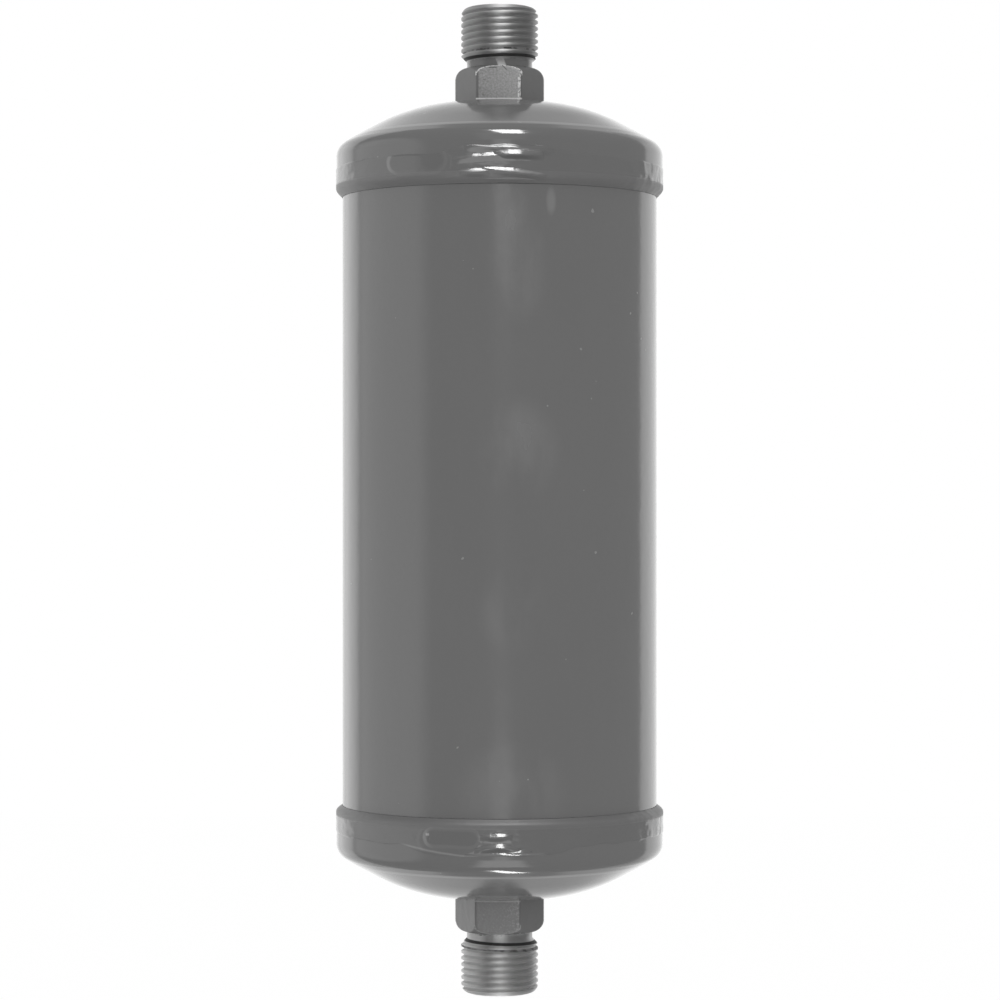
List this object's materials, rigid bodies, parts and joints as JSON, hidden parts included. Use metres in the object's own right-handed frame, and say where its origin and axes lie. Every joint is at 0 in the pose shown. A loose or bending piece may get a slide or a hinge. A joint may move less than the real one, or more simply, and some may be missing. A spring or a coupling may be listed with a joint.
{
  "type": "refrigeration filter drier",
  "caption": "Steel can filter drier with drawn domed ends, welded seams, threaded hex fittings and a spring-loaded desiccant core inside",
  "frame": {"origin": "middle of the can on its axis, midway between the two end faces", "axes": "+Z runs along the can's axis towards the inlet; one flat of the inlet hexagon faces -Y within a degree"},
  "size_m": [0.0812, 0.0812, 0.2438],
  "materials": {
    "can_paint": "semi-gloss dark grey paint",
    "weld_paint": "semi-gloss dark grey paint over a weld bead",
    "fitting_steel": "turned steel, painted near the can",
    "braze": "matt",
    "spring_steel": "drawn wire",
    "plate_steel": "pressed sheet",
    "mesh_steel": "woven wire",
    "pad_fibre": "bonded glass fibre",
    "desiccant": "rough moulded block",
    "felt": "felt"
  },
  "bodies": {
    "root": {"shell_tube": "can_paint", "inlet_end_cap": "can_paint", "outlet_end_cap": "can_paint", "inlet_girth_weld": "weld_paint", "outlet_girth_weld": "weld_paint", "inlet_fitting": "fitting_steel", "outlet_fitting": "fitting_steel", "inlet_braze_ring": "braze", "outlet_braze_ring": "braze", "pressure_spring": "spring_steel", "spring_seat": "plate_steel", "inlet_perforated_plate": "plate_steel", "inlet_mesh_screen": "mesh_steel", "inlet_filter_pad": "pad_fibre", "desiccant_core": "desiccant", "core_seal_ring": "felt", "outlet_filter_pad": "pad_fibre", "outlet_mesh_screen": "mesh_steel", "outlet_perforated_plate": "plate_steel", "outlet_retaining_ring": "spring_steel"}
  },
  "joints": []
}
